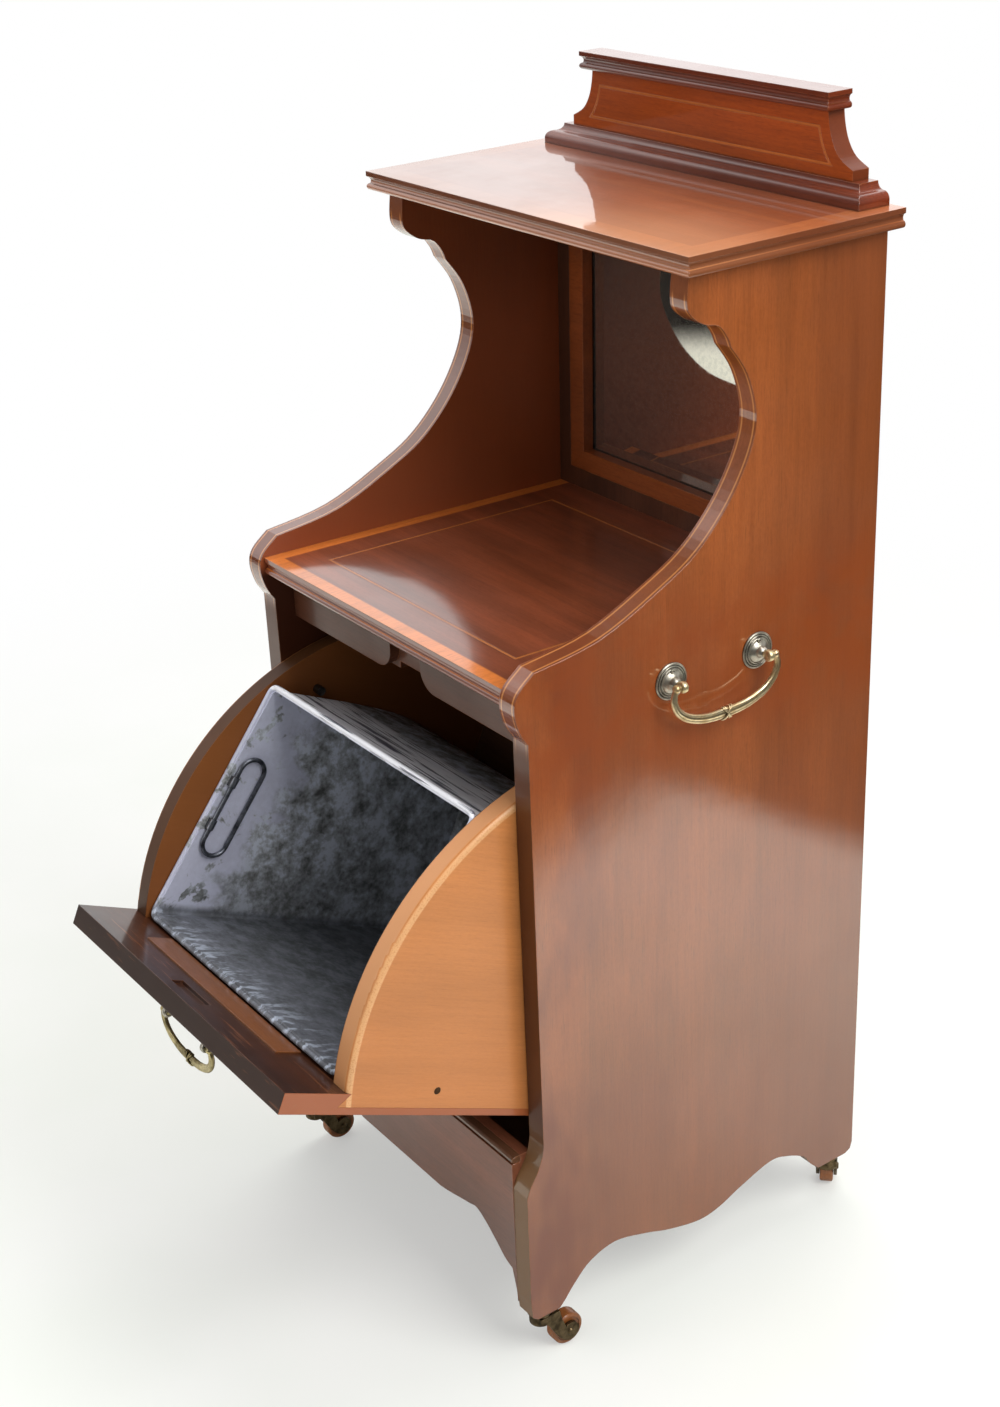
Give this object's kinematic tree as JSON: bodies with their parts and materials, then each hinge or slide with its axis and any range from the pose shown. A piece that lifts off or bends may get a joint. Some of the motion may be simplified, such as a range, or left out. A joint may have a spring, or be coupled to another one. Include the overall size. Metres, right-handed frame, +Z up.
{
  "type": "coal scuttle",
  "caption": "Inlaid mahogany coal cabinet on castors with a mirrored niche and shelf above a forward-tipping coal box and lift-out metal liner.",
  "frame": {"origin": "on the floor, under the middle of the object's box with the coal box open", "axes": "+X to the right across the front, +Y to the back, +Z up"},
  "size_m": [0.4112, 0.568, 0.9727],
  "materials": {
    "mahogany": "french polished ribbon mahogany",
    "mahogany_dark": "polished dark mahogany",
    "satinwood": "polished satinwood inlay",
    "box_wood": "waxed mahogany",
    "pine": "plain stained pine",
    "mirror": "bevelled silvered glass",
    "zinc": "mottled zinc sheet",
    "zinc_wire": "dull wire",
    "brass": "polished brass",
    "rosette_metal": "darkened brass",
    "steel": "plain steel",
    "castor_metal": "dull dark brass",
    "castor_wheel": "brown turned wheel"
  },
  "bodies": {
    "cabinet": {"side_panel_right": "mahogany", "side_panel_left": "mahogany", "top_board": "mahogany", "gallery_base": "mahogany", "gallery_panel": "mahogany", "gallery_cap": "mahogany", "gallery_string": "satinwood", "shelf": "mahogany", "shelf_string": "satinwood", "shelf_rail": "mahogany_dark", "mirror_frame": "mahogany_dark", "mirror_moulding": "satinwood", "mirror_glass": "mirror", "back_board_upper": "pine", "back_board_lower": "pine", "cabinet_floor": "pine", "front_apron": "mahogany", "apron_bead": "satinwood", "stop_batten": "pine", "glue_blocks": "pine", "pivot_pins": "steel", "side_rosettes_right": "rosette_metal", "side_rosettes_left": "rosette_metal", "castor_plates": "castor_metal"},
    "coal_box": {"door_panel": "mahogany", "door_string": "satinwood", "quadrant_right": "box_wood", "quadrant_left": "box_wood", "box_floor": "pine", "door_strip": "satinwood", "liner_pegs": "steel", "quadrant_screws": "steel", "door_rosettes": "rosette_metal"},
    "door_bail": {"door_bail": "brass"},
    "side_bail_right": {"side_bail_right": "brass"},
    "side_bail_left": {"side_bail_left": "brass"},
    "liner": {"liner_tub": "zinc", "liner_rim": "zinc", "liner_clips": "zinc_wire"},
    "liner_handle_right": {"liner_handle_right": "zinc_wire"},
    "liner_handle_left": {"liner_handle_left": "zinc_wire"},
    "castor_fr": {"castor_horn_fr": "castor_metal", "castor_axle_fr": "castor_metal"},
    "wheel_fr": {"castor_wheel_fr": "castor_wheel"},
    "castor_fl": {"castor_horn_fl": "castor_metal", "castor_axle_fl": "castor_metal"},
    "wheel_fl": {"castor_wheel_fl": "castor_wheel"},
    "castor_br": {"castor_horn_br": "castor_metal", "castor_axle_br": "castor_metal"},
    "wheel_br": {"castor_wheel_br": "castor_wheel"},
    "castor_bl": {"castor_horn_bl": "castor_metal", "castor_axle_bl": "castor_metal"},
    "wheel_bl": {"castor_wheel_bl": "castor_wheel"}
  },
  "joints": [
    {"name": "coal_box_tip", "type": "hinge", "parent": "cabinet", "child": "coal_box", "pos_m": [0, 0.01001, 0.2805], "axis": [1, 0, 0], "range_deg": [-64.6, 0]},
    {"name": "liner_lift", "type": "slide", "parent": "coal_box", "child": "liner", "axis": [0, -0.9033, 0.4289], "range_m": [0, 0.15]},
    {"name": "liner_handle_right_swing", "type": "hinge", "parent": "liner", "child": "liner_handle_right", "pos_m": [0.1395, -0.1495, 0.41269], "axis": [0, 0.6209, 0.7839], "range_deg": [0, 150]},
    {"name": "liner_handle_left_swing", "type": "hinge", "parent": "liner", "child": "liner_handle_left", "pos_m": [-0.1395, -0.1495, 0.41269], "axis": [0, -0.6209, -0.7839], "range_deg": [0, 150]},
    {"name": "door_bail_swing", "type": "hinge", "parent": "coal_box", "child": "door_bail", "pos_m": [0, -0.2705, 0.3134], "axis": [-1, 0, 0], "range_deg": [-76, 124]},
    {"name": "side_bail_right_swing", "type": "hinge", "parent": "cabinet", "child": "side_bail_right", "pos_m": [0.201, 0.10801, 0.5765], "axis": [0, -1, 0], "range_deg": [-15, 180]},
    {"name": "side_bail_left_swing", "type": "hinge", "parent": "cabinet", "child": "side_bail_left", "pos_m": [-0.201, 0.10801, 0.5765], "axis": [0, 1, 0], "range_deg": [-15, 180]},
    {"name": "castor_fr_swivel", "type": "hinge", "parent": "cabinet", "child": "castor_fr", "pos_m": [0.17765, -0.07, 0.038], "axis": [0, 0, 1], "continuous": true},
    {"name": "wheel_fr_roll", "type": "hinge", "parent": "castor_fr", "child": "wheel_fr", "pos_m": [0.17765, -0.046, 0.0145], "axis": [-1, 0, 0], "continuous": true},
    {"name": "castor_fl_swivel", "type": "hinge", "parent": "cabinet", "child": "castor_fl", "pos_m": [-0.17765, -0.07, 0.038], "axis": [0, 0, 1], "continuous": true},
    {"name": "wheel_fl_roll", "type": "hinge", "parent": "castor_fl", "child": "wheel_fl", "pos_m": [-0.17765, -0.046, 0.0145], "axis": [-1, 0, 0], "continuous": true},
    {"name": "castor_br_swivel", "type": "hinge", "parent": "cabinet", "child": "castor_br", "pos_m": [0.17765, 0.2525, 0.038], "axis": [0, 0, 1], "continuous": true},
    {"name": "wheel_br_roll", "type": "hinge", "parent": "castor_br", "child": "wheel_br", "pos_m": [0.16098, 0.26977, 0.0145], "axis": [-0.7193, -0.6947, 0], "continuous": true},
    {"name": "castor_bl_swivel", "type": "hinge", "parent": "cabinet", "child": "castor_bl", "pos_m": [-0.17765, 0.2525, 0.038], "axis": [0, 0, 1], "continuous": true},
    {"name": "wheel_bl_roll", "type": "hinge", "parent": "castor_bl", "child": "wheel_bl", "pos_m": [-0.16098, 0.26977, 0.0145], "axis": [-0.7193, 0.6947, 0], "continuous": true}
  ]
}
